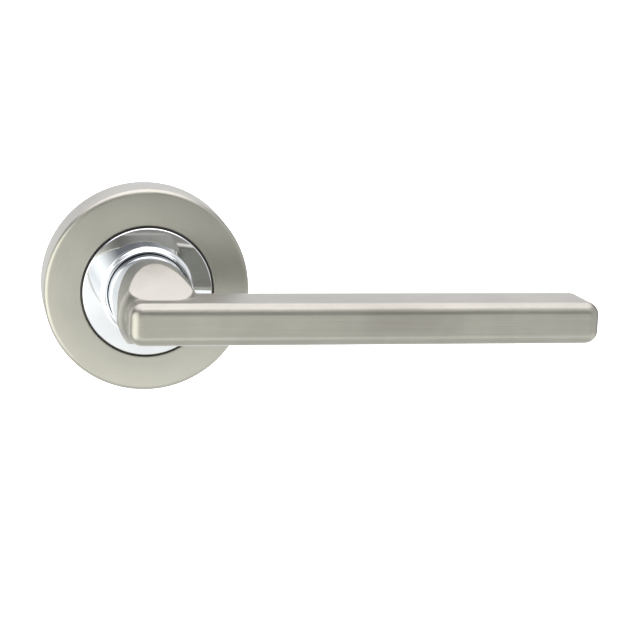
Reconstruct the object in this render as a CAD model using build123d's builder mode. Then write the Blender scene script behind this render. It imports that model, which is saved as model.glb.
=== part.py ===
from build123d import *
import os
from math import atan2, cos, degrees, radians, sin

# Lever handle on a round sprung rose, one side of a door set, as separate pieces.
#
# Frame: the origin is on the spindle axis at the door face, +X runs along the lever,
# +Z is up, and -Y points from the door towards the user. Heights are distances in
# front of the door face, so a piece at height h lies at Y = -h. Millimetres.

# ---- driving dimensions -------------------------------------------------------
ROSE_R = 26.0            # outer radius of the round rose
ROSE_H = 12.2            # height of the rose in front of the door
ROSE_EDGE_H = 11.6       # the slightly domed face falls to this at its rim
COVER_WALL = 1.3         # wall of the pressed cover
COVER_EDGE = 1.2         # rounding of the cover's front edge
OPENING_R = 16.85        # round opening in the cover's face
OPENING_CHAMFER = 0.15
RING_R = 16.35           # bright ring that fills the opening
RING_H = 12.7            # outer edge of its polished face
RING_DISH = 0.25         # the face falls by this much towards the neck
LIP_R = 11.05            # raised lip around the neck
LIP_H = 14.6
RING_BORE_R = 10.32      # bore of the lip, clear of the neck

NECK_R = 10.2            # outside of the neck
NECK_FRONT_H = 45.2      # front of the round neck, buried in the bar
NECK_END_ROUND = 7.5     # rounding of that front end
FACET_TOP_H = 26.0       # the sloped facets start here, at the neck's full radius
FACET_LOW_H = 44.3       # and run out here, at the bar's faces
SLEEVE_WALL = 0.5        # bright sleeve around the neck
SLEEVE_H = 21.0          # its front edge above and below
SLEEVE_TIP_H = 39.5      # tip of its points on the two sides
SLEEVE_SHOULDER_Z = 8.7  # height above the axis where the points begin
SEAT_GAP = 0.05          # fitting gap between pieces that turn together

BAR_LEFT = -8.4
BAR_RIGHT = 107.6
BAR_HALF_Z = 5.2
BAR_BACK_H = 35.9
BAR_FRONT_H = 49.5
BAR_CORNER = 3.3         # corners of the bar seen from the front
BAR_FRONT_ROUND = 2.6
BAR_BACK_ROUND = 1.0
BAR_END_SLANT = 1.6      # the free end leans back by this much

SHANK_R = 8.0            # turned shank that runs in the bush
SHANK_END_H = 0.3
SHOULDER_H = 10.3        # back of the neck, where the shank begins
KEY_HALF_Z = 7.2         # two flats that drive the spring carrier
KEY_H = 5.0
GROOVE_R = 7.2           # groove of the retaining ring
GROOVE_H = (0.7, 1.55)

SPINDLE_SIDE = 8.0
SPINDLE_IN_H = 29.0      # how far the spindle reaches into the neck
SPINDLE_OUT = 60.0       # how far it reaches behind the door face
SPINDLE_CLEAR = 0.1
GRUB_H = 19.0            # set screw under the neck
GRUB_R = 2.5
GRUB_OUT_Z = 9.7
GRUB_IN_Z = 4.1

GASKET_H = 0.5
GASKET_R = 24.3
GASKET_BORE_R = 12.0
GASKET_HOLE_R = 2.6
BASE_R = 23.5
BASE_RIM_R = 21.9
BASE_WALL_H = (5.6, 6.8)
BOSS_R = 13.5
BOSS_H = 9.2
BOSS_BORE_R = 11.0
BUSH_H = 10.2
BUSH_CLEAR = 0.05
BUSH_FLANGE_R = 12.6

FIXING_R = 19.0          # fixings stand on a circle of 38 mm diameter
POST_R = 3.6
BOLT_HEAD_R = 3.4
BOLT_HEAD_T = 2.0
BOLT_POCKET_R = 4.3
WASHER_R = 3.9
BOLT_R = 2.0             # thread, which starts behind the door face
BOLT_THREAD_AT = 0.3
BOLT_SHANK_R = 1.75      # rolled shank inside the rose
BOLT_HOLE_R = 2.2
BOLT_SEAT_H = 5.8
BOLT_REACH = 35.0        # free length behind the door face
WASHER_T = 0.5
SCREW_R = 1.75
SCREW_HOLE_R = 1.95
SCREW_HEAD_R = 3.7
SCREW_SINK = 1.8
SCREW_REACH = 17.0

PLATE_T = 0.9            # back plate that closes the spring chamber
PLATE_HOLE_R = 10.4
PLATE_SCREW_AT = 19.4
PLATE_SCREW_R = 1.25
PLATE_SCREW_HEAD_R = 2.2
PLATE_SCREW_H = 4.6      # depth of these screws from the back
PLATE_POST_R = 2.3

CARRIER_H = (2.0, 3.4)
CARRIER_R = 12.8
CARRIER_HUB_R = 9.6
CARRIER_HUB_H = 5.0
ARM_R = 15.2
ARM_WIDTH = 4.0
ARM_ANGLE = 157.5        # rest angle of the stop arm, from +X towards +Z
TURN = 45.0              # travel of the lever
LUG_R = 13.0
LUG_SIZE = 1.2

STOP_R = 1.0
STOP_AT = 14.0
STOP_OFFSET = 12.9       # angle between an arm's centre line and a stop it touches

WIRE_R = 0.35
COIL_R = 11.0
COIL_PITCH = 0.74
COIL_BACK_H = 3.85
LEG_REACH = 3.4          # radial legs, one on a stop pin and one on the carrier's lug
LEG_OFFSET = 6.2         # angle between a leg and what it presses on

RING_FLANGE_BACK_H = 10.0
RING_FLANGE_R = 18.5
RING_STEP_R = 15.0
RING_FLANGE_IN_H = 10.6
RIB_BACK_H = 9.9         # rib inside the cover that carries the ring's clip
RIB_R = (18.9, 21.2)
RING_CLIP_R = (16.9, 21.0)
CLIP_BACK_H = 9.4
STAKE_R = 0.8            # cast stakes that hold the clip
STAKE_AT = 20.0

CLIP_H = 2.0             # sprung clips that grip the inside of the cover
CLIP_WIDTH = 3.2

FIXING_BOLT_ANGLES = (0, 180)
WOOD_SCREW_ANGLES = (90, 270)
PLATE_SCREW_ANGLES = (45, 135, 225, 315)
CLIP_ANGLES = (30, 150, 270)
STAKE_ANGLES = (60, 180, 300)

os.makedirs("parts", exist_ok=True)


# ---- small helpers, used inside a part's own block ------------------------------
def disc(radius, back, front, at=((0, 0),), mode=Mode.ADD):
    """Round discs along the spindle direction, from one height to another."""
    with BuildSketch(Plane.XZ.offset(back)) as circles:
        with Locations(*at):
            Circle(radius)
    extrude(circles.sketch, amount=front - back, mode=mode)


def cone(back_radius, front_radius, back, front, at=((0, 0),), mode=Mode.ADD):
    """Round cones along the spindle direction."""
    axis = Plane.XZ.offset((back + front) / 2)
    places = [axis * Pos(x, z, 0) for x, z in at]
    with Locations(*places):
        Cone(back_radius, front_radius, front - back, mode=mode)


def polar(radius, angles):
    """Points on a circle about the spindle, as (X, Z) pairs."""
    return [(radius * cos(radians(a)), radius * sin(radians(a))) for a in angles]


def cross_recess(at, size, depth, front):
    """Cross-shaped driver recesses, sunk into screw heads from the front."""
    with BuildSketch(Plane.XZ.offset(front)) as crosses:
        with Locations(*at):
            Rectangle(size, size / 4)
            Rectangle(size / 4, size)
    extrude(crosses.sketch, amount=-depth, taper=12, mode=Mode.SUBTRACT)


def save(part, name):
    """Label a finished piece and write it under its own name."""
    part.label = name
    export_step(part, f"parts/{name}.step")


FIXING_BOLTS = polar(FIXING_R, FIXING_BOLT_ANGLES)
WOOD_SCREWS = polar(FIXING_R, WOOD_SCREW_ANGLES)
PLATE_SCREWS = polar(PLATE_SCREW_AT, PLATE_SCREW_ANGLES)
STAKES = polar(STAKE_AT, STAKE_ANGLES)


# ---- the lever: one casting, with neck, bar and shank ----------------------------
def sleeve_solid(gap):
    """The bright sleeve's tube: cut straight above and below, pointed on its sides."""
    shoulder = -SLEEVE_H - gap
    tip = -SLEEVE_TIP_H - gap
    wide = NECK_R + 2
    with BuildPart() as tube:
        disc(NECK_R + 2 * gap, SHOULDER_H + SEAT_GAP - gap, SLEEVE_TIP_H + 2)
        disc(NECK_R - SLEEVE_WALL - gap, 0, SLEEVE_TIP_H + 3, mode=Mode.SUBTRACT)
        with BuildSketch(Plane.YZ):
            with BuildLine():
                FilletPolyline(
                    (0, -wide),
                    (shoulder, -wide),
                    (shoulder, -SLEEVE_SHOULDER_Z),
                    (tip, 0),
                    (shoulder, SLEEVE_SHOULDER_Z),
                    (shoulder, wide),
                    (0, wide),
                    radius=1.6,
                    close=True,
                )
            make_face()
        extrude(amount=NECK_R + 2, both=True, mode=Mode.INTERSECT)
    return tube.part


slope = (NECK_R - BAR_HALF_Z) / (FACET_LOW_H - FACET_TOP_H)
facet_end_h = FACET_LOW_H + 3
facet_end_z = BAR_HALF_Z - 3 * slope

with BuildPart() as neck:
    disc(NECK_R, SHOULDER_H, NECK_FRONT_H)
    fillet(neck.edges().group_by(Axis.Y)[0], NECK_END_ROUND)
    with BuildSketch(Plane.YZ):
        with BuildLine():
            Polyline(
                (-FACET_TOP_H, NECK_R),
                (-facet_end_h, facet_end_z),
                (-facet_end_h, NECK_R + 1),
                (-FACET_TOP_H, NECK_R + 1),
                close=True,
            )
        make_face()
        mirror(about=Plane.XZ)
    extrude(amount=NECK_R + 1, both=True, mode=Mode.SUBTRACT)
    add(sleeve_solid(SEAT_GAP), mode=Mode.SUBTRACT)
    disc(SHANK_R, SHANK_END_H, SHOULDER_H)
    with BuildSketch(Plane.XZ.offset(SHANK_END_H)):
        with Locations((0, KEY_HALF_Z + 1), (0, -KEY_HALF_Z - 1)):
            Rectangle(4 * SHANK_R, 2)
    extrude(amount=KEY_H - SHANK_END_H, mode=Mode.SUBTRACT)
    with BuildSketch(Plane.XZ.offset(GROOVE_H[0])):
        Circle(SHANK_R + 1)
        Circle(GROOVE_R, mode=Mode.SUBTRACT)
    extrude(amount=GROOVE_H[1] - GROOVE_H[0], mode=Mode.SUBTRACT)

with BuildPart() as bar:
    for height, right in ((BAR_BACK_H, BAR_RIGHT - BAR_END_SLANT), (BAR_FRONT_H, BAR_RIGHT)):
        with BuildSketch(Plane.XZ.offset(height)):
            with Locations(((BAR_LEFT + right) / 2, 0)):
                RectangleRounded(right - BAR_LEFT, 2 * BAR_HALF_Z, BAR_CORNER)
    loft(ruled=True)
    fillet(bar.faces().sort_by(Axis.Y)[0].edges(), BAR_FRONT_ROUND)
    fillet(bar.faces().sort_by(Axis.Y)[-1].edges(), BAR_BACK_ROUND)

with BuildPart() as lever_handle:
    add(neck.part)
    add(bar.part)
    spindle_hole = SPINDLE_SIDE + 2 * SPINDLE_CLEAR
    with BuildSketch(Plane.XZ.offset(-1)):
        Rectangle(spindle_hole, spindle_hole)
    extrude(amount=SPINDLE_IN_H + 1.5, mode=Mode.SUBTRACT)
    with BuildSketch(Plane.XY.offset(-SPINDLE_SIDE / 2)):
        with Locations((0, -GRUB_H)):
            Circle(GRUB_R + SEAT_GAP)
    extrude(amount=-NECK_R, mode=Mode.SUBTRACT)
save(lever_handle.part, "lever_handle")

with BuildPart() as neck_sleeve:
    add(sleeve_solid(0))
    with BuildSketch(Plane.XZ.offset(BAR_BACK_H - SEAT_GAP)):
        with Locations((NECK_R, 0)):
            Rectangle(2 * NECK_R, 4 * NECK_R)
    extrude(amount=NECK_R, mode=Mode.SUBTRACT)
    with BuildSketch(Plane.XY):
        with Locations((0, -GRUB_H)):
            Circle(GRUB_R + 0.3)
    extrude(amount=-NECK_R - 1, mode=Mode.SUBTRACT)
save(neck_sleeve.part, "neck_sleeve")

with BuildPart() as grub_screw:
    with BuildSketch(Plane.XY.offset(-GRUB_OUT_Z)):
        with Locations((0, -GRUB_H)):
            Circle(GRUB_R)
    extrude(amount=GRUB_OUT_Z - GRUB_IN_Z)
    chamfer(grub_screw.edges().group_by(Axis.Z)[-1], 0.8)
    chamfer(grub_screw.edges().group_by(Axis.Z)[0], 0.3)
    with BuildSketch(Plane.XY.offset(-GRUB_OUT_Z)):
        with Locations((0, -GRUB_H)):
            RegularPolygon(radius=1.25, side_count=6, major_radius=False)
    extrude(amount=2.6, mode=Mode.SUBTRACT)
save(grub_screw.part, "grub_screw")

with BuildPart() as spindle:
    with BuildSketch(Plane.XZ.offset(-SPINDLE_OUT)):
        Rectangle(SPINDLE_SIDE, SPINDLE_SIDE)
    extrude(amount=SPINDLE_OUT + SPINDLE_IN_H)
    chamfer(spindle.edges().group_by(Axis.Y)[0], 0.8)
    chamfer(spindle.edges().group_by(Axis.Y)[-1], 0.8)
    fillet(spindle.edges().filter_by(Axis.Y), 0.4)
save(spindle.part, "spindle")

# ---- what turns with the shank inside the rose -----------------------------------
with BuildPart() as retaining_ring:
    with BuildSketch(Plane.XZ.offset(GROOVE_H[0] + SEAT_GAP)):
        Circle(9.3)
        Circle(GROOVE_R + SEAT_GAP, mode=Mode.SUBTRACT)
        with Locations((0, -9)):
            Rectangle(8, 8, mode=Mode.SUBTRACT)
        with Locations(*polar(8.6, (-52, -128))):
            Circle(1.5)
        with Locations(*polar(8.7, (-52, -128))):
            Circle(0.7, mode=Mode.SUBTRACT)
        Circle(GROOVE_R + SEAT_GAP, mode=Mode.SUBTRACT)
    extrude(amount=GROOVE_H[1] - GROOVE_H[0] - 2 * SEAT_GAP)
save(retaining_ring.part, "retaining_ring")

with BuildPart() as disc_spring:
    with BuildSketch(Plane.XY):
        with BuildLine():
            Polyline((8.3, -1.6), (9.9, -1.7), (9.9, -1.95), (8.3, -1.85), close=True)
        make_face()
    revolve(axis=Axis.Y)
save(disc_spring.part, "disc_spring")

with BuildPart() as spring_carrier:
    disc(CARRIER_R, CARRIER_H[0], CARRIER_H[1])
    with BuildSketch(Plane.XZ.offset(CARRIER_H[0])):
        with PolarLocations(0, 2, start_angle=ARM_ANGLE):
            with Locations((ARM_R / 2, 0)):
                Rectangle(ARM_R, ARM_WIDTH)
    extrude(amount=CARRIER_H[1] - CARRIER_H[0])
    disc(CARRIER_HUB_R, CARRIER_H[1], CARRIER_HUB_H)
    with BuildSketch(Plane.XZ.offset(CARRIER_H[1])):
        with PolarLocations(0, 1, start_angle=ARM_ANGLE - 180):
            with Locations((LUG_R, 0)):
                Rectangle(LUG_SIZE, ARM_WIDTH / 2)
    extrude(amount=1.9)
    with BuildSketch(Plane.XZ):
        Circle(SHANK_R + SEAT_GAP)
        Rectangle(3 * SHANK_R, 2 * (KEY_HALF_Z + SEAT_GAP), mode=Mode.INTERSECT)
    extrude(amount=CARRIER_HUB_H + 1, mode=Mode.SUBTRACT)
save(spring_carrier.part, "spring_carrier")

with BuildPart() as thrust_washer:
    disc(9.8, CARRIER_HUB_H + 0.05, BASE_WALL_H[0] - 0.05)
    disc(SHANK_R + 0.15, 0, BASE_WALL_H[1], mode=Mode.SUBTRACT)
save(thrust_washer.part, "thrust_washer")

# ---- the fixed rose: base, bush, stops, spring and fixings ------------------------
with BuildPart() as rose_base:
    disc(BASE_R, GASKET_H, BASE_WALL_H[1])
    disc(BASE_RIM_R, GASKET_H, BASE_WALL_H[0], mode=Mode.SUBTRACT)
    disc(BOSS_R, BASE_WALL_H[1], BOSS_H)
    chamfer(rose_base.edges().group_by(Axis.Y)[0], 0.5)
    disc(POST_R, GASKET_H, BASE_WALL_H[0], at=FIXING_BOLTS + WOOD_SCREWS)
    disc(PLATE_POST_R, GASKET_H + PLATE_T, BASE_WALL_H[0], at=PLATE_SCREWS)
    disc(BOSS_BORE_R, 0, BOSS_H + 1, mode=Mode.SUBTRACT)
    disc(BOLT_HOLE_R, 0, BOSS_H, at=FIXING_BOLTS, mode=Mode.SUBTRACT)
    disc(BOLT_POCKET_R, BOLT_SEAT_H, BOSS_H, at=FIXING_BOLTS, mode=Mode.SUBTRACT)
    disc(SCREW_HOLE_R, 0, BOSS_H, at=WOOD_SCREWS, mode=Mode.SUBTRACT)
    front = BASE_WALL_H[1]
    cone(SCREW_HOLE_R, SCREW_HEAD_R + 0.1, front - SCREW_SINK, front, WOOD_SCREWS, Mode.SUBTRACT)
    disc(PLATE_SCREW_R + 0.05, 0, PLATE_SCREW_H + 0.4, at=PLATE_SCREWS, mode=Mode.SUBTRACT)
    stops = polar(STOP_AT, (ARM_ANGLE + STOP_OFFSET, ARM_ANGLE - TURN - STOP_OFFSET))
    disc(STOP_R + 0.02, 0, BASE_WALL_H[1] - 0.3, at=stops, mode=Mode.SUBTRACT)
save(rose_base.part, "rose_base")

with BuildPart() as stop_pins:
    disc(STOP_R, CARRIER_H[0] - 0.2, BASE_WALL_H[1] - 0.35, at=stops)
    chamfer(stop_pins.edges().group_by(Axis.Y)[-1], 0.2)
save(stop_pins.part, "stop_pins")

with BuildPart() as neck_bush:
    disc(BOSS_BORE_R - 0.03, BASE_WALL_H[0] + SEAT_GAP, BOSS_H)
    disc(BUSH_FLANGE_R, BOSS_H + 0.02, BUSH_H)
    disc(BOSS_BORE_R - 0.03, BOSS_H - 0.5, BUSH_H)
    disc(SHANK_R + BUSH_CLEAR, 0, BUSH_H + 1, mode=Mode.SUBTRACT)
    chamfer(neck_bush.edges().group_by(Axis.Y)[0].sort_by(SortBy.LENGTH)[-1], 0.3)
save(neck_bush.part, "neck_bush")

with BuildPart() as return_spring:
    start = ARM_ANGLE - TURN - STOP_OFFSET + LEG_OFFSET
    finish = ARM_ANGLE - 180 - LEG_OFFSET
    rise = COIL_PITCH * (1 + (finish - start) % 360 / 360)
    with BuildLine() as coil:
        Helix(COIL_PITCH, rise, COIL_R, center=(0, -COIL_BACK_H, 0), direction=(0, -1, 0))
    first = coil.line @ 0
    wire = coil.line.rotate(Axis.Y, degrees(atan2(first.Z, first.X)) - start)
    with BuildSketch(Plane(origin=wire @ 0, z_dir=wire % 0)):
        Circle(WIRE_R)
    sweep(path=wire)
    for place in (wire @ 0.003, wire @ 0.997):
        outward = Vector(place.X, 0, place.Z).normalized()
        with BuildSketch(Plane(origin=place - outward * 0.1, z_dir=outward)):
            Circle(WIRE_R)
        extrude(amount=LEG_REACH)
save(return_spring.part, "return_spring")

with BuildPart() as bolt_washers:
    disc(WASHER_R, BOLT_SEAT_H + 0.02, BOLT_SEAT_H + WASHER_T, at=FIXING_BOLTS)
    disc(BOLT_R + 0.15, 0, BASE_WALL_H[1], at=FIXING_BOLTS, mode=Mode.SUBTRACT)
save(bolt_washers.part, "bolt_washers")

with BuildPart() as fixing_bolts:
    head_back = BOLT_SEAT_H + WASHER_T + 0.02
    disc(BOLT_HEAD_R, head_back, head_back + BOLT_HEAD_T, at=FIXING_BOLTS)
    fillet(fixing_bolts.edges().group_by(Axis.Y)[0], 0.9)
    disc(BOLT_SHANK_R, -BOLT_THREAD_AT, head_back, at=FIXING_BOLTS)
    disc(BOLT_R, -BOLT_REACH, -BOLT_THREAD_AT, at=FIXING_BOLTS)
    chamfer(fixing_bolts.edges().group_by(Axis.Y)[-1], 0.6)
    cross_recess(FIXING_BOLTS, 3.6, 1.5, head_back + BOLT_HEAD_T)
save(fixing_bolts.part, "fixing_bolts")

with BuildPart() as wood_screws:
    head_front = BASE_WALL_H[1] - 0.05
    neck_h = head_front - SCREW_SINK
    tip_h = -SCREW_REACH
    cone(SCREW_R, SCREW_HEAD_R, neck_h, head_front, at=WOOD_SCREWS)
    disc(SCREW_R, tip_h + 5, neck_h, at=WOOD_SCREWS)
    cone(0.3, SCREW_R, tip_h, tip_h + 5, at=WOOD_SCREWS)
    cross_recess(WOOD_SCREWS, 4.0, 1.4, head_front)
save(wood_screws.part, "wood_screws")

with BuildPart() as back_plate:
    plate_front = GASKET_H + PLATE_T
    disc(BASE_RIM_R - 0.2, GASKET_H, plate_front - 0.02)
    disc(PLATE_HOLE_R, 0, plate_front, mode=Mode.SUBTRACT)
    disc(POST_R + 0.25, 0, plate_front, at=FIXING_BOLTS + WOOD_SCREWS, mode=Mode.SUBTRACT)
    sink_back = PLATE_SCREW_HEAD_R + 0.05
    sink_front = PLATE_SCREW_R + 0.05
    cone(sink_back, sink_front, GASKET_H, plate_front, PLATE_SCREWS, Mode.SUBTRACT)
save(back_plate.part, "back_plate")

with BuildPart() as plate_screws:
    cone(PLATE_SCREW_HEAD_R, PLATE_SCREW_R, GASKET_H + 0.02, plate_front, at=PLATE_SCREWS)
    disc(PLATE_SCREW_R, plate_front, PLATE_SCREW_H, at=PLATE_SCREWS)
save(plate_screws.part, "plate_screws")

with BuildPart() as backing_gasket:
    disc(GASKET_R, 0, GASKET_H - 0.02)
    disc(GASKET_BORE_R, -1, GASKET_H, mode=Mode.SUBTRACT)
    disc(GASKET_HOLE_R, -1, GASKET_H, at=FIXING_BOLTS + WOOD_SCREWS, mode=Mode.SUBTRACT)
save(backing_gasket.part, "backing_gasket")

with BuildPart() as cover_clips:
    half_span = 9
    foot = BASE_R + 0.03
    crown = BASE_R + 0.55
    thick = 0.3
    for angle in CLIP_ANGLES:
        ends = polar(foot, (angle - half_span, angle + half_span))
        outer_ends = polar(foot + thick, (angle - half_span, angle + half_span))
        with BuildSketch(Plane.XZ.offset(CLIP_H)):
            with BuildLine():
                ThreePointArc(ends[0], polar(crown, (angle,))[0], ends[1])
                Line(ends[1], outer_ends[1])
                ThreePointArc(outer_ends[1], polar(crown + thick, (angle,))[0], outer_ends[0])
                Line(outer_ends[0], ends[0])
            make_face()
        extrude(amount=CLIP_WIDTH)
save(cover_clips.part, "cover_clips")

# ---- the cover and its bright ring, which slide forward along the neck -----------------
face_back = ROSE_H - COVER_WALL
with BuildPart() as rose_cover:
    with BuildSketch(Plane.XY) as profile:
        with BuildLine():
            Line((0, -ROSE_H), (OPENING_R, -ROSE_H))
            TangentArc((OPENING_R, -ROSE_H), (ROSE_R, -ROSE_EDGE_H), tangent=(1, 0))
            Polyline((ROSE_R, -ROSE_EDGE_H), (ROSE_R, 0), (0, 0), (0, -ROSE_H))
        make_face()
        fillet(profile.vertices().sort_by_distance((ROSE_R, -ROSE_EDGE_H))[0], COVER_EDGE)
    revolve(axis=Axis.Y)
    disc(ROSE_R - COVER_WALL, -1, face_back, mode=Mode.SUBTRACT)
    with BuildSketch(Plane.XZ.offset(RIB_BACK_H)):
        Circle(RIB_R[1])
        Circle(RIB_R[0], mode=Mode.SUBTRACT)
    extrude(amount=face_back - RIB_BACK_H + 0.1)
    disc(STAKE_R, CLIP_BACK_H - 0.3, RIB_BACK_H + 0.1, at=STAKES)
    disc(OPENING_R, 0, ROSE_H + 1, mode=Mode.SUBTRACT)
    opening_edge = rose_cover.edges().filter_by(GeomType.CIRCLE).group_by(Axis.Y)[0]
    chamfer(opening_edge.sort_by(SortBy.LENGTH)[0], OPENING_CHAMFER)
save(rose_cover.part, "rose_cover")

with BuildPart() as chrome_ring:
    with BuildSketch(Plane.XY):
        with BuildLine():
            lip_in = (RING_BORE_R, -LIP_H + 0.2)
            lip_top_in = (RING_BORE_R + 0.15, -LIP_H)
            lip_top_out = (LIP_R - 0.2, -LIP_H)
            lip_out = (LIP_R, -LIP_H + 0.25)
            face_in = (LIP_R + 0.8, -RING_H + RING_DISH)
            lip_foot = (LIP_R + 0.1, face_in[1] - 0.7)
            Line((RING_BORE_R, -RING_FLANGE_IN_H), lip_in)
            Line(lip_in, lip_top_in)
            Line(lip_top_in, lip_top_out)
            Line(lip_top_out, lip_out)
            Line(lip_out, lip_foot)
            TangentArc(lip_foot, face_in, tangent=(0.1, 1.25))
            Polyline(
                face_in,
                (RING_R - 0.2, -RING_H),
                (RING_R, -RING_H + 0.2),
                (RING_R, -face_back + 0.1),
                (RING_FLANGE_R, -face_back + 0.1),
                (RING_FLANGE_R, -RING_FLANGE_BACK_H),
                (RING_STEP_R, -RING_FLANGE_BACK_H),
                (RING_STEP_R, -RING_FLANGE_IN_H),
                (RING_BORE_R, -RING_FLANGE_IN_H),
            )
        make_face()
    revolve(axis=Axis.Y)
save(chrome_ring.part, "chrome_ring")

with BuildPart() as ring_clip:
    disc(RING_CLIP_R[1], CLIP_BACK_H, RIB_BACK_H - 0.03)
    disc(RING_CLIP_R[0], 0, RIB_BACK_H, mode=Mode.SUBTRACT)
    disc(STAKE_R + 0.05, 0, RIB_BACK_H, at=STAKES, mode=Mode.SUBTRACT)
save(ring_clip.part, "ring_clip")
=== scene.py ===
from math import cos, pi, radians, sin

import bmesh
import bpy
from mathutils import Matrix, Vector


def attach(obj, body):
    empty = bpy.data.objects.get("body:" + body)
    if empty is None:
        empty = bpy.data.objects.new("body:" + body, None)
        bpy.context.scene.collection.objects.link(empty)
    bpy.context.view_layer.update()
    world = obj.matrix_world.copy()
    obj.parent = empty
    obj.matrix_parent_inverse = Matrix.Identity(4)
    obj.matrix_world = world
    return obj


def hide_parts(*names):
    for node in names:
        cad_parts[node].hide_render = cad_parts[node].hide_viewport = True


# Looks of a lever handle on a round sprung rose. Metres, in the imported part's frame:
# the spindle axis is Y, the user stands on the -Y side, the lever runs along +X.

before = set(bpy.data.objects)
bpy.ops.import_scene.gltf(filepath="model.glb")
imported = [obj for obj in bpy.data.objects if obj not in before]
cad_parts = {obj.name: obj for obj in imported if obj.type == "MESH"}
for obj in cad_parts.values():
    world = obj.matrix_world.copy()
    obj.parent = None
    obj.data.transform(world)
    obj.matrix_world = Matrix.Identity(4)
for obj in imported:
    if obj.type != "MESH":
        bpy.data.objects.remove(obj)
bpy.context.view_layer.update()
MM = 0.001

# ---- view --------------------------------------------------------------------
CAMERA_TARGET = Vector((0.0410, -0.0300, -0.0032))
CAMERA_DISTANCE = 0.5
CAMERA_AZIMUTH = radians(11.86)     # the camera stands to the left of the rose
CAMERA_ELEVATION = radians(13.44)
CAMERA_ROLL = radians(2.53)
CAMERA_LENS = 113.27
SENSOR = 36.0

FLOOR_Z = -0.32
FLOOR_SIZE = 12.0

# ---- finishes ----------------------------------------------------------------
# satin nickel, its darkest and its lightest tone
LEVER_SATIN = ((0.330, 0.325, 0.288, 1), (0.398, 0.392, 0.350, 1))
ROSE_SATIN = ((0.385, 0.381, 0.337, 1), (0.435, 0.431, 0.383, 1))
# painted dark reflection: the tone of a soft darker patch on the lever bar's front face
SATIN_DARK_REFLECTION = (0.215, 0.207, 0.185, 1)
LEVER_SOFTENING = 0.6 * MM          # radius over which the satin edges are rubbed soft
ROSE_SOFTENING = 0.5 * MM
# centre and size of that painted dark reflection on the bar's front face
DARK_REFLECTION_SPOT = (0.0590, -0.0495, 0.0010)
DARK_REFLECTION_SIZE = (0.016, 0.020, 0.0055)
FINE_GRAIN = 5200.0                 # brush lines, as noise cells per metre across them
BAR_GRAIN = 45.0                    # and along them, on the bar
ROUND_GRAIN = 1.5                   # and around the axis, on the neck and the rose
BAR_GRAIN_FROM = (-0.0362, -0.0350)     # the bar's straight grain gives way to round grain here
CHROME_DARK = (0.76, 0.785, 0.815, 1)
CHROME_LIGHT = (0.86, 0.885, 0.915, 1)
# painted shade: the colour of the narrow gap between the ring and the rose
CHROME_GAP_SHADE = (0.230, 0.224, 0.215, 1)
GAP_RADIUS = 16.3 * MM              # the gap between ring and rose begins here
GAP_HEIGHT = 12.62 * MM             # and lies below the ring's face

# ---- fixings; a height is a distance in front of the door face -----------------
FIXING_CIRCLE = 19.0 * MM
SEGMENTS = 32
SHARP_ANGLE = 38

BOLT_TIP = -35.0 * MM
BOLT_TIP_R = 1.25 * MM
BOLT_CHAMFER = 0.35 * MM
BOLT_CHAMFER_R = 1.6 * MM
BOLT_CORE_R = 1.58 * MM
BOLT_CREST_R = 2.0 * MM
BOLT_PITCH = 0.7 * MM
BOLT_THREAD_END = -0.7 * MM
BOLT_SHANK_START = -0.4 * MM
BOLT_SHANK_R = 1.75 * MM
BOLT_HEAD_BACK = 6.32 * MM
BOLT_HEAD_FRONT = 8.32 * MM
BOLT_HEAD_R = 3.4 * MM
BOLT_HEAD_BEVEL = 0.1 * MM
BOLT_HEAD_ROUND = 0.9 * MM
BOLT_RECESS = 3.6 * MM
BOLT_RECESS_DEPTH = 1.4 * MM

SCREW_TIP = -17.0 * MM
SCREW_TIP_R = 0.25 * MM
SCREW_TAPER = 5.0 * MM
SCREW_CORE_R = 1.12 * MM
SCREW_CREST_R = 1.75 * MM
SCREW_PITCH = 1.7 * MM
SCREW_THREAD_END = -1.5 * MM
SCREW_SHANK_START = -1.0 * MM
SCREW_SHANK_R = 1.5 * MM
SCREW_HEAD_BACK = 4.95 * MM
SCREW_HEAD_FRONT = 6.75 * MM
SCREW_HEAD_R = 3.7 * MM
SCREW_RECESS = 4.0 * MM
SCREW_RECESS_DEPTH = 1.35 * MM


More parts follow.
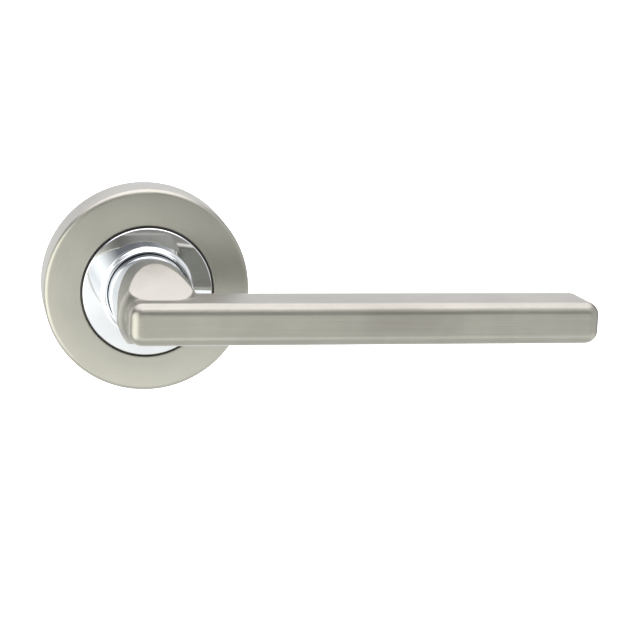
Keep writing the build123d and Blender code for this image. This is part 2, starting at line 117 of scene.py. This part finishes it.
# ---- node helpers ------------------------------------------------------------
class Graph:
    """A node tree with short calls: values are numbers, tuples or other nodes' sockets."""

    def __init__(self, tree):
        self.tree = tree

    def add(self, kind, *values, out=0, **settings):
        node = self.tree.nodes.new(kind)
        for key, value in settings.items():
            setattr(node, key, value)
        for index, value in enumerate(values):
            if value is not None:
                self.put(node.inputs[index], value)
        return node.outputs[out]

    def put(self, socket, value):
        if isinstance(value, bpy.types.NodeSocket):
            self.tree.links.new(value, socket)
        else:
            socket.default_value = value

    def named(self, kind, out=0, settings=(), **values):
        """Like add, but the inputs go by name, with _ for a space."""
        node = self.tree.nodes.new(kind)
        for key, value in dict(settings).items():
            setattr(node, key, value)
        for key, value in values.items():
            self.put(node.inputs[key.replace("_", " ")], value)
        return node.outputs[out]

    def math(self, operation, a, b=None, c=None, clamp=False):
        return self.add("ShaderNodeMath", a, b, c, operation=operation, use_clamp=clamp)

    def vector(self, operation, a, b=None, out=0):
        return self.add("ShaderNodeVectorMath", a, b, out=out, operation=operation)

    def xyz(self, vector):
        node = self.tree.nodes.new("ShaderNodeSeparateXYZ")
        self.put(node.inputs[0], vector)
        return node.outputs[0], node.outputs[1], node.outputs[2]

    def join(self, x, y, z):
        return self.add("ShaderNodeCombineXYZ", x, y, z)

    def ramp(self, value, low, high, to_low=0.0, to_high=1.0):
        """A smooth step from to_low at low to to_high at high."""
        return self.add(
            "ShaderNodeMapRange", value, low, high, to_low, to_high, interpolation_type="SMOOTHSTEP"
        )

    def noise(self, vector, scale, detail=3.0, rough=0.55):
        return self.named(
            "ShaderNodeTexNoise", Vector=vector, Scale=scale, Detail=detail, Roughness=rough
        )

    def blend(self, factor, a, b):
        node = self.tree.nodes.new("ShaderNodeMix")
        node.data_type = "RGBA"
        self.put(node.inputs[0], factor)
        self.put(node.inputs[6], a)
        self.put(node.inputs[7], b)
        return node.outputs[2]


def material(name, metallic, **fixed):
    """A new Principled material; fixed values go straight on the shader's sockets."""
    mat = bpy.data.materials.new(name)
    mat.use_nodes = True
    graph = Graph(mat.node_tree)
    shader = mat.node_tree.nodes["Principled BSDF"]
    shader.inputs["Metallic"].default_value = metallic
    for key, value in fixed.items():
        shader.inputs[key.replace("_", " ")].default_value = value
    place = graph.named("ShaderNodeTexCoord", out=3)
    return mat, graph, shader, place


def dress(graph, shader, color, roughness, height, depth, soften=None):
    """Connect colour, roughness and a bump of the given depth in metres; soften rounds the edges."""
    graph.put(shader.inputs["Base Color"], color)
    graph.put(shader.inputs["Roughness"], roughness)
    bump = graph.named("ShaderNodeBump", Strength=1.0, Distance=depth, Height=height)
    if soften:
        edge = graph.named("ShaderNodeBevel", settings={"samples": 6}, Radius=soften)
        graph.put(bump.node.inputs["Normal"], edge)
    graph.put(shader.inputs["Normal"], bump)


def around(graph, place, across, along, deep):
    """Coordinates whose noise makes circular grain about the spindle axis."""
    x, y, z = graph.xyz(place)
    flat = graph.join(x, 0.0, z)
    radius = graph.vector("LENGTH", flat, out=1)
    facing = graph.vector("NORMALIZE", flat)
    fx, _, fz = graph.xyz(facing)
    return graph.join(
        graph.math("ADD", graph.math("MULTIPLY", radius, across), graph.math("MULTIPLY", fx, along)),
        graph.math("MULTIPLY", y, deep),
        graph.math("MULTIPLY", fz, along),
    )


def stretched(graph, place, x, y, z):
    return graph.vector("MULTIPLY", place, (x, y, z))


# ---- materials -----------------------------------------------------------------
def satin(name, tones, grain_of, soften, reflection_spot=None):
    """Brushed satin nickel plate. grain_of(graph, place) gives the grain's coordinates,
    reflection_spot is the centre of a faintly darker patch, a painted dark reflection on the bar's
    front."""
    mat, graph, shader, place = material(name, 1.0, Anisotropic=0.25)
    grain = graph.noise(grain_of(graph, place), 1.0, 4.0, 0.6)
    cloud = graph.noise(place, 90.0, 3.0)
    patch = graph.noise(place, 28.0, 2.0)
    tone = graph.math(
        "ADD", graph.math("MULTIPLY", grain, 0.55), graph.math("MULTIPLY", cloud, 0.45)
    )
    color = graph.blend(graph.ramp(tone, 0.3, 0.7), *tones)
    # painted dark reflection: a soft darker patch blended into the bar's colour
    if reflection_spot:
        offset = graph.vector("SUBTRACT", place, reflection_spot)
        offset = graph.vector("MULTIPLY", offset, tuple(1 / size for size in DARK_REFLECTION_SIZE))
        distance = graph.vector("LENGTH", offset, out=1)
        reach = graph.math("ADD", distance, graph.math("MULTIPLY", cloud, 0.5))
        color = graph.blend(graph.ramp(reach, 0.45, 1.35, 0.42, 0.0), color, SATIN_DARK_REFLECTION)
    brushed = graph.ramp(grain, 0.3, 0.7, 0.30, 0.38)
    rough = graph.math("ADD", brushed, graph.ramp(patch, 0.35, 0.65, -0.02, 0.04))
    dress(graph, shader, color, rough, grain, 0.004 * MM, soften=soften)
    return mat


def lever_grain(graph, place):
    """Grain along the bar, and around the neck behind it."""
    along_bar = stretched(graph, place, BAR_GRAIN, FINE_GRAIN, FINE_GRAIN)
    _, y, _ = graph.xyz(place)
    on_neck = graph.ramp(y, *BAR_GRAIN_FROM)
    node = graph.tree.nodes.new("ShaderNodeMix")
    node.data_type = "VECTOR"
    graph.put(node.inputs[0], on_neck)
    graph.put(node.inputs[4], along_bar)
    graph.put(node.inputs[5], round_grain(graph, place))
    return node.outputs[1]


def round_grain(graph, place):
    return around(graph, place, FINE_GRAIN, ROUND_GRAIN, FINE_GRAIN)


def bright_chrome(name, gap_shade=False):
    """Polished chrome plate with hairline scratches and faint handling smudges.
    gap_shade paints shade into the narrow gap around the ring and makes the chrome rougher there."""
    mat, graph, shader, place = material(name, 1.0)
    smudge = graph.noise(place, 70.0, 3.0, 0.5)
    hair = graph.noise(around(graph, place, 2600.0, 2.0, 2600.0), 1.0, 2.0)
    color = graph.blend(graph.ramp(smudge, 0.35, 0.65), CHROME_DARK, CHROME_LIGHT)
    smeared = graph.ramp(smudge, 0.5, 0.75, 0.03, 0.07)
    rough = graph.math("ADD", smeared, graph.ramp(hair, 0.62, 0.8, 0.0, 0.04))
    if gap_shade:
        # painted shade: darkens the chrome inside the gap between the ring and the rose
        x, y, z = graph.xyz(place)
        radius = graph.vector("LENGTH", graph.join(x, 0.0, z), out=1)
        outside = graph.ramp(radius, GAP_RADIUS - 0.10 * MM, GAP_RADIUS + 0.04 * MM)
        below = graph.ramp(y, -GAP_HEIGHT, -GAP_HEIGHT + 0.25 * MM)
        inside = graph.math("MULTIPLY", outside, below)
        color = graph.blend(inside, color, CHROME_GAP_SHADE)
        rough = graph.math("ADD", rough, graph.math("MULTIPLY", inside, 0.6), clamp=True)
    dress(graph, shader, color, rough, hair, 0.0006 * MM)
    return mat


def zinc_plate(name):
    """Clear-passivated zinc plate on steel, with its faint blue and straw tints."""
    mat, graph, shader, place = material(name, 1.0)
    tint = graph.noise(place, 160.0, 3.0)
    speck = graph.noise(place, 2400.0, 3.0, 0.65)
    blue = (0.37, 0.39, 0.425, 1)
    straw = (0.43, 0.41, 0.355, 1)
    dull = (0.26, 0.27, 0.285, 1)
    color = graph.blend(graph.ramp(tint, 0.35, 0.65), blue, straw)
    color = graph.blend(graph.ramp(speck, 0.62, 0.8), color, dull)
    dress(graph, shader, color, graph.ramp(speck, 0.3, 0.7, 0.26, 0.42), speck, 0.006 * MM)
    return mat


def cast_zinc(name):
    """Raw die-cast zinc: a dull crystalline skin with flow marks."""
    mat, graph, shader, place = material(name, 1.0)
    flow = graph.noise(stretched(graph, place, 120.0, 120.0, 420.0), 1.0, 5.0, 0.6)
    skin = graph.noise(place, 1700.0, 4.0, 0.7)
    dark = (0.34, 0.345, 0.355, 1)
    pale = (0.47, 0.475, 0.48, 1)
    color = graph.blend(graph.ramp(flow, 0.3, 0.7), dark, pale)
    dress(graph, shader, color, graph.ramp(skin, 0.3, 0.7, 0.42, 0.6), skin, 0.02 * MM)
    return mat


def spring_steel(name):
    """Hardened strip and wire, dark with drawing lines and a film of oil."""
    mat, graph, shader, place = material(name, 1.0, Coat_Weight=0.35, Coat_Roughness=0.12)
    line = graph.noise(around(graph, place, 3800.0, 2.0, 3800.0), 1.0, 3.0)
    heat = graph.noise(place, 210.0, 2.0)
    blued = (0.23, 0.235, 0.25, 1)
    browned = (0.34, 0.325, 0.30, 1)
    color = graph.blend(graph.ramp(heat, 0.35, 0.65), blued, browned)
    dress(graph, shader, color, graph.ramp(line, 0.3, 0.7, 0.24, 0.38), line, 0.005 * MM)
    return mat


def moulded_nylon(name):
    """Natural nylon with a fine moulded grain and slight yellowing."""
    mat, graph, shader, place = material(name, 0.0, Subsurface_Weight=0.12, Subsurface_Scale=0.001)
    tone = graph.noise(place, 140.0, 3.0)
    skin = graph.noise(place, 2200.0, 3.0, 0.6)
    yellowed = (0.70, 0.66, 0.56, 1)
    fresh = (0.80, 0.78, 0.71, 1)
    color = graph.blend(graph.ramp(tone, 0.35, 0.65), yellowed, fresh)
    dress(graph, shader, color, graph.ramp(skin, 0.3, 0.7, 0.38, 0.55), skin, 0.012 * MM)
    return mat


def gasket_fibre(name):
    """Pressed fibre sheet: short matted fibres in a dark grey binder."""
    mat, graph, shader, place = material(name, 0.0)
    one = graph.noise(stretched(graph, place, 700.0, 1800.0, 3600.0), 1.0, 4.0, 0.7)
    two = graph.noise(stretched(graph, place, 3600.0, 1800.0, 700.0), 1.0, 4.0, 0.7)
    fibre = graph.math("MAXIMUM", one, two)
    binder = (0.055, 0.060, 0.062, 1)
    strand = (0.155, 0.160, 0.155, 1)
    color = graph.blend(graph.ramp(fibre, 0.45, 0.75), binder, strand)
    dress(graph, shader, color, graph.ramp(fibre, 0.4, 0.7, 0.95, 0.78), fibre, 0.08 * MM)
    return mat


def put_material(obj, mat):
    obj.data.materials.clear()
    obj.data.materials.append(mat)
    for polygon in obj.data.polygons:
        polygon.material_index = 0


# ---- turned and threaded pieces ---------------------------------------------------
def turned(name, at, rows, segments=SEGMENTS):
    """A closed solid of revolution about a line along Y through at, an (x, z) pair.
    rows are (height, radius) pairs; a radius may be a function of the angle."""
    bm = bmesh.new()
    x0, z0 = at
    rings = []
    for height, radius in rows:
        ring = []
        for k in range(segments):
            angle = 2 * pi * k / segments
            r = radius(angle) if callable(radius) else radius
            ring.append(bm.verts.new((x0 + r * cos(angle), -height, z0 + r * sin(angle))))
        rings.append(ring)
    for low, high in zip(rings, rings[1:]):
        for k in range(segments):
            j = (k + 1) % segments
            bm.faces.new((low[k], low[j], high[j], high[k]))
    bm.faces.new(rings[0][::-1])
    bm.faces.new(rings[-1])
    bmesh.ops.recalc_face_normals(bm, faces=bm.faces)
    return to_object(bm, name)


def thread_rows(start, end, core, crest, pitch, steps, limit=None):
    """Rows of a helical thread from one height to another; limit(height) caps the radius."""
    rows = []
    count = max(2, round(abs(end - start) / pitch * steps))
    for k in range(count + 1):
        height = start + (end - start) * k / count

        def radius(angle, height=height):
            turn = (height / pitch + angle / (2 * pi)) % 1.0
            ridge = min(1.0, max(0.0, 1.5 * abs(2 * turn - 1) - 0.3))
            reach = core + (crest - core) * ridge
            return min(reach, limit(height)) if limit else reach

        rows.append((height, radius))
    return rows


def cross_cutter(at, size, front, depth):
    """A tapered cross, to sink a driver recess into a screw head."""
    bm = bmesh.new()
    for wide, tall in ((size, size / 4), (size / 4, size)):
        corners = []
        for height, scale in ((front + 0.4 * MM, 1.08), (front - depth, 0.72)):
            for sx, sz in ((-1, -1), (1, -1), (1, 1), (-1, 1)):
                place = (at[0] + sx * wide / 2 * scale, -height, at[1] + sz * tall / 2 * scale)
                corners.append(bm.verts.new(place))
        bm.faces.new(corners[:4])
        bm.faces.new(corners[:3:-1])
        for k in range(4):
            j = (k + 1) % 4
            bm.faces.new((corners[k], corners[k + 4], corners[j + 4], corners[j]))
    bmesh.ops.recalc_face_normals(bm, faces=bm.faces)
    return to_object(bm, "cross_cutter")


def to_object(bm, name):
    mesh = bpy.data.meshes.new(name)
    bm.to_mesh(mesh)
    bm.free()
    obj = bpy.data.objects.new(name, mesh)
    bpy.context.scene.collection.objects.link(obj)
    return obj


def cut(obj, cutter):
    """Subtract one object from another and throw the cutter away."""
    change = obj.modifiers.new("recess", "BOOLEAN")
    change.operation = "DIFFERENCE"
    change.solver = "EXACT"
    change.use_self = True
    change.object = cutter
    bpy.context.view_layer.update()
    mesh = bpy.data.meshes.new_from_object(obj.evaluated_get(bpy.context.evaluated_depsgraph_get()))
    obj.modifiers.clear()
    obj.data = mesh
    bpy.data.objects.remove(cutter)


def shade(obj, sharp_angle):
    obj.data.shade_smooth()
    obj.data.set_sharp_from_angle(angle=radians(sharp_angle))


def on_fixing_circle(angle):
    return FIXING_CIRCLE * cos(radians(angle)), FIXING_CIRCLE * sin(radians(angle))


def build_fixing_bolt(name, angle):
    """M4 bolt with a pan head in the rose, rolled shank and cut thread behind the door face."""
    chamfer_end = BOLT_TIP + BOLT_CHAMFER
    thread_start = chamfer_end + 0.05 * MM

    def chamfered(height):
        return BOLT_CHAMFER_R + max(0.0, height - chamfer_end)

    rows = [(BOLT_TIP, BOLT_TIP_R), (chamfer_end, BOLT_CHAMFER_R)]
    rows += thread_rows(
        thread_start, BOLT_THREAD_END, BOLT_CORE_R, BOLT_CREST_R, BOLT_PITCH, 10, chamfered
    )
    rows += [
        (BOLT_SHANK_START, BOLT_SHANK_R),
        (BOLT_HEAD_BACK, BOLT_SHANK_R),
        (BOLT_HEAD_BACK + 0.02 * MM, BOLT_HEAD_R - BOLT_HEAD_BEVEL),
        (BOLT_HEAD_BACK + BOLT_HEAD_BEVEL, BOLT_HEAD_R),
    ]
    round_height = BOLT_HEAD_FRONT - BOLT_HEAD_ROUND
    round_radius = BOLT_HEAD_R - BOLT_HEAD_ROUND
    for degrees in range(0, 91, 15):
        turn = radians(degrees)
        rows.append(
            (round_height + BOLT_HEAD_ROUND * sin(turn), round_radius + BOLT_HEAD_ROUND * cos(turn))
        )
    rows.append((BOLT_HEAD_FRONT, BOLT_RECESS / 3))
    at = on_fixing_circle(angle)
    bolt = turned(name, at, rows)
    cut(bolt, cross_cutter(at, BOLT_RECESS, BOLT_HEAD_FRONT, BOLT_RECESS_DEPTH))
    shade(bolt, SHARP_ANGLE)
    return bolt


def build_wood_screw(name, angle):
    """Countersunk wood screw with a coarse thread and a sharp point."""

    def pointed(height):
        return SCREW_TIP_R + SCREW_SHANK_R * min(1.0, (height - SCREW_TIP) / SCREW_TAPER)

    rows = [(SCREW_TIP, 0.1 * MM)]
    rows += thread_rows(
        SCREW_TIP + 0.1 * MM, SCREW_THREAD_END, SCREW_CORE_R, SCREW_CREST_R, SCREW_PITCH, 14, pointed
    )
    rows += [
        (SCREW_SHANK_START, SCREW_SHANK_R - 0.05 * MM),
        (SCREW_HEAD_BACK, SCREW_SHANK_R),
        (SCREW_HEAD_FRONT - 0.25 * MM, SCREW_HEAD_R - 0.15 * MM),
        (SCREW_HEAD_FRONT - 0.1 * MM, SCREW_HEAD_R),
        (SCREW_HEAD_FRONT, SCREW_HEAD_R - 0.08 * MM),
        (SCREW_HEAD_FRONT, 1.3 * MM),
    ]
    at = on_fixing_circle(angle)
    screw = turned(name, at, rows)
    cut(screw, cross_cutter(at, SCREW_RECESS, SCREW_HEAD_FRONT, SCREW_RECESS_DEPTH))
    shade(screw, SHARP_ANGLE)
    return screw


def build_fixings(finish):
    """The bolts and wood screws, with the threads that the CAD solids leave out."""
    for node, make, angles in (
        ("fixing_bolts", build_fixing_bolt, (0, 180)),
        ("wood_screws", build_wood_screw, (90, 270)),
    ):
        for angle in angles:
            piece = make(f"{node}_{angle}", angle)
            put_material(piece, finish)
            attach(piece, "rose")
            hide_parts(node)


# ---- stage -----------------------------------------------------------------------
def build_floor():
    """A plain pale floor below the part, wide enough to fill the view."""
    mesh = bpy.data.meshes.new("floor")
    half = FLOOR_SIZE / 2
    sides = ((-half, -half), (half, -half), (half, half), (-half, half))
    corners = [(x, y, FLOOR_Z) for x, y in sides]
    mesh.from_pydata(corners, [], [(0, 1, 2, 3)])
    floor = bpy.data.objects.new("floor", mesh)
    bpy.context.scene.collection.objects.link(floor)
    mat = bpy.data.materials.new("pale_floor")
    mat.use_nodes = True
    shader = mat.node_tree.nodes["Principled BSDF"]
    shader.inputs["Base Color"].default_value = (0.93, 0.93, 0.93, 1)
    shader.inputs["Roughness"].default_value = 0.9
    shader.inputs["Emission Color"].default_value = (1, 1, 1, 1)
    shader.inputs["Emission Strength"].default_value = 0.55
    put_material(floor, mat)
    floor.visible_glossy = False
    floor.visible_diffuse = False


def build_world():
    """Soft studio light: a grey surround with a few broad, soft-edged panels of light."""
    world = bpy.data.worlds.new("studio")
    bpy.context.scene.world = world
    world.use_nodes = True
    graph = Graph(world.node_tree)
    facing = graph.named("ShaderNodeTexCoord", out=0)
    # direction of each panel, its inner and outer half angle, colour and strength
    panels = (
        ((-0.02, -0.93, -0.32), 13, 31, (1.00, 1.00, 0.96), 0.86),
        ((0.15, -0.64, 0.76), 16, 33, (1.00, 1.00, 0.99), 0.84),
        ((-0.84, -0.52, -0.10), 18, 48, (1.00, 0.99, 0.925), 2.35),
        ((0.00, 0.16, 1.00), 28, 56, (1.00, 0.955, 1.00), 2.10),
        ((-0.05, 1.00, -0.02), 32, 64, (1.00, 0.99, 1.04), 0.82),
        ((-0.78, 0.62, -0.05), 12, 34, (1.00, 1.00, 0.97), 0.70),
        ((0.05, -0.10, -1.00), 46, 76, (1.00, 1.00, 0.98), 0.88),
        ((1.00, -0.40, 0.05), 22, 62, (1.00, 1.00, 0.98), 0.70),
    )
    total = (0.22, 0.22, 0.225)
    for toward, inner, outer, color, strength in panels:
        near = graph.vector("DOT_PRODUCT", facing, tuple(Vector(toward).normalized()), out=1)
        amount = graph.ramp(near, cos(radians(outer)), cos(radians(inner)))
        glow = graph.vector("SCALE", tuple(strength * c for c in color))
        graph.put(glow.node.inputs["Scale"], amount)
        total = graph.vector("ADD", glow, total)
    seen = graph.named("ShaderNodeLightPath", out=0)
    color = graph.blend(seen, total, (1, 1, 1, 1))
    graph.put(world.node_tree.nodes["Background"].inputs["Color"], color)


def build_camera():
    data = bpy.data.cameras.new("camera")
    data.lens = CAMERA_LENS
    data.sensor_width = SENSOR
    data.clip_start = 0.01
    data.clip_end = 50.0
    camera = bpy.data.objects.new("camera", data)
    bpy.context.scene.collection.objects.link(camera)
    level = cos(CAMERA_ELEVATION)
    back = Vector((-sin(CAMERA_AZIMUTH) * level, -cos(CAMERA_AZIMUTH) * level, sin(CAMERA_ELEVATION)))
    right = (-back).cross(Vector((0, 0, 1))).normalized()
    up = right.cross(-back)
    turned_right = cos(CAMERA_ROLL) * right + sin(CAMERA_ROLL) * up
    turned_up = cos(CAMERA_ROLL) * up - sin(CAMERA_ROLL) * right
    axes = Matrix((turned_right, turned_up, back)).transposed().to_4x4()
    camera.matrix_world = Matrix.Translation(CAMERA_TARGET + CAMERA_DISTANCE * back) @ axes
    bpy.context.scene.camera = camera


# ---- assembly ----------------------------------------------------------------------
def dress_nodes():
    """Give every carried-over CAD node its finish."""
    finishes = {
        "satin_lever": satin("satin_lever", LEVER_SATIN, lever_grain, LEVER_SOFTENING, DARK_REFLECTION_SPOT),
        "satin_rose": satin("satin_rose", ROSE_SATIN, round_grain, ROSE_SOFTENING),
        "bright_chrome": bright_chrome("bright_chrome"),
        "ring_chrome": bright_chrome("ring_chrome", gap_shade=True),
        "raw_zinc": cast_zinc("raw_zinc"),
        "zinc_plated_steel": zinc_plate("zinc_plated_steel"),
        "spring_steel": spring_steel("spring_steel"),
        "nylon": moulded_nylon("nylon"),
        "gasket_fibre": gasket_fibre("gasket_fibre"),
    }
    worn_by = {
        "satin_lever": ("lever_handle",),
        "satin_rose": ("rose_cover",),
        "bright_chrome": ("neck_sleeve",),
        "ring_chrome": ("chrome_ring",),
        "raw_zinc": ("rose_base",),
        "zinc_plated_steel": (
            "spindle", "spring_carrier", "stop_pins", "bolt_washers", "back_plate", "plate_screws",
        ),
        "spring_steel": (
            "grub_screw", "retaining_ring", "disc_spring", "return_spring", "cover_clips", "ring_clip",
        ),
        "nylon": ("neck_bush", "thrust_washer"),
        "gasket_fibre": ("backing_gasket",),
    }
    for finish, nodes in worn_by.items():
        for node in nodes:
            put_material(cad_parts[node], finishes[finish])
    return finishes


def set_view():
    settings = bpy.context.scene.view_settings
    settings.view_transform = "Standard"
    settings.look = "None"
    settings.exposure = 0.0
    settings.gamma = 1.0


finishes = dress_nodes()
build_fixings(finishes["zinc_plated_steel"])
build_floor()
build_world()
build_camera()
set_view()
